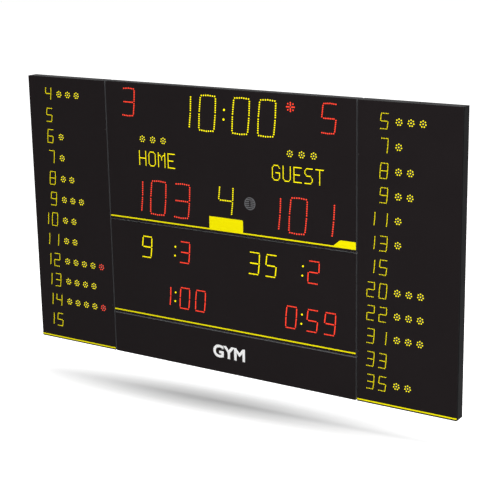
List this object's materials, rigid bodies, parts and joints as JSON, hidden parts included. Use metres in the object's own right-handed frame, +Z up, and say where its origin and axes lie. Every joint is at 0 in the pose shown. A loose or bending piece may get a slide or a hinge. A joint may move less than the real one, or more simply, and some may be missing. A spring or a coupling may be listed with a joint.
{
  "type": "electronic scoreboard",
  "caption": "Wide wall-hung indoor LED scoreboard of flat black cabinets with hinged pierced covers over seven-segment and lamp boards, on steel wall rails.",
  "frame": {"origin": "on the wall plane, in the middle of the upper wall rail's back face", "axes": "+X to the right as seen from the front, +Y into the wall, +Z up; the covers face -Y"},
  "size_m": [3.3183, 0.1015, 1.896],
  "materials": {
    "cover_black": "satin black powder coat",
    "rail_grey": "dark grey satin",
    "back_aluminium": "mill finish",
    "zinc_steel": "zinc plated",
    "yellow_leds": "lit yellow",
    "red_leds": "lit red",
    "black_plastic": "matte",
    "stripe_yellow": "satin film",
    "grille_grey": "satin",
    "circuit_green": "solder mask",
    "box_grey": "matte"
  },
  "bodies": {
    "cabinets": {"left_casing": "rail_grey", "right_casing": "rail_grey", "top_casing": "rail_grey", "middle_casing": "rail_grey", "sign_casing": "rail_grey", "left_back_sheet": "back_aluminium", "right_back_sheet": "back_aluminium", "top_back_sheet": "back_aluminium", "middle_back_sheet": "back_aluminium", "sign_back_sheet": "back_aluminium", "upper_wall_rail": "zinc_steel", "middle_wall_rail": "zinc_steel", "lower_wall_rail": "zinc_steel", "power_supply": "zinc_steel", "control_board": "circuit_green", "radio_receiver": "black_plastic", "terminal_box": "box_grey", "mains_gland": "black_plastic", "sign_cover": "cover_black", "left_link": "black_plastic", "right_link": "black_plastic", "middle_link": "black_plastic"},
    "left_door": {"left_cover": "cover_black", "home_number_board": "yellow_leds", "home_foul_lamp_board": "yellow_leds", "left_stripe": "stripe_yellow"},
    "left_stud_1": {"left_stud_1": "zinc_steel"},
    "left_stud_2": {"left_stud_2": "zinc_steel"},
    "right_door": {"right_cover": "cover_black", "guest_number_board": "yellow_leds", "guest_foul_lamp_board": "yellow_leds", "right_stripe": "stripe_yellow"},
    "right_stud_1": {"right_stud_1": "zinc_steel"},
    "right_stud_2": {"right_stud_2": "zinc_steel"},
    "top_door": {"top_cover": "cover_black", "clock_board": "yellow_leds", "home_foul_board": "red_leds", "guest_foul_board": "red_leds", "possession_board": "red_leds", "home_name_board": "black_plastic", "guest_name_board": "black_plastic", "home_timeout_board": "yellow_leds", "guest_timeout_board": "yellow_leds", "home_score_board": "red_leds", "guest_score_board": "red_leds", "period_board": "yellow_leds", "horn": "black_plastic", "horn_grille": "grille_grey", "top_stripe": "stripe_yellow"},
    "top_stud_1": {"top_stud_1": "zinc_steel"},
    "top_stud_2": {"top_stud_2": "zinc_steel"},
    "middle_door": {"middle_cover": "cover_black", "home_penalty_number_board": "yellow_leds", "guest_penalty_number_board": "yellow_leds", "home_penalty_time_board": "red_leds", "guest_penalty_time_board": "red_leds", "middle_stripe": "stripe_yellow"},
    "middle_stud_1": {"middle_stud_1": "zinc_steel"},
    "middle_stud_2": {"middle_stud_2": "zinc_steel"}
  },
  "joints": [
    {"name": "left_door_hinge", "type": "hinge", "parent": "cabinets", "child": "left_door", "pos_m": [-1.642, -0.088, -0.798], "axis": [0, 0, -1], "range_deg": [0, 92]},
    {"name": "left_stud_1_turn", "type": "hinge", "parent": "left_door", "child": "left_stud_1", "pos_m": [-0.976, -0.1, -0.178], "axis": [0, -1, 0], "range_deg": [0, 90]},
    {"name": "left_stud_2_turn", "type": "hinge", "parent": "left_door", "child": "left_stud_2", "pos_m": [-0.976, -0.1, -1.418], "axis": [0, -1, 0], "range_deg": [0, 90]},
    {"name": "right_door_hinge", "type": "hinge", "parent": "cabinets", "child": "right_door", "pos_m": [1.642, -0.088, -0.798], "axis": [0, 0, 1], "range_deg": [0, 92]},
    {"name": "right_stud_1_turn", "type": "hinge", "parent": "right_door", "child": "right_stud_1", "pos_m": [0.976, -0.1, -0.178], "axis": [0, -1, 0], "range_deg": [0, 90]},
    {"name": "right_stud_2_turn", "type": "hinge", "parent": "right_door", "child": "right_stud_2", "pos_m": [0.976, -0.1, -1.418], "axis": [0, -1, 0], "range_deg": [0, 90]},
    {"name": "top_door_hinge", "type": "hinge", "parent": "cabinets", "child": "top_door", "pos_m": [0, -0.088, 0.142], "axis": [-1, 0, 0], "range_deg": [0, 92]},
    {"name": "top_stud_1_turn", "type": "hinge", "parent": "top_door", "child": "top_stud_1", "pos_m": [-0.65, -0.1, -0.78], "axis": [0, -1, 0], "range_deg": [0, 90]},
    {"name": "top_stud_2_turn", "type": "hinge", "parent": "top_door", "child": "top_stud_2", "pos_m": [0.65, -0.1, -0.78], "axis": [0, -1, 0], "range_deg": [0, 90]},
    {"name": "middle_door_hinge", "type": "hinge", "parent": "cabinets", "child": "middle_door", "pos_m": [0, -0.088, -0.806], "axis": [-1, 0, 0], "range_deg": [0, 92]},
    {"name": "middle_stud_1_turn", "type": "hinge", "parent": "middle_door", "child": "middle_stud_1", "pos_m": [-0.65, -0.1, -1.448], "axis": [0, -1, 0], "range_deg": [0, 90]},
    {"name": "middle_stud_2_turn", "type": "hinge", "parent": "middle_door", "child": "middle_stud_2", "pos_m": [0.65, -0.1, -1.448], "axis": [0, -1, 0], "range_deg": [0, 90]}
  ]
}
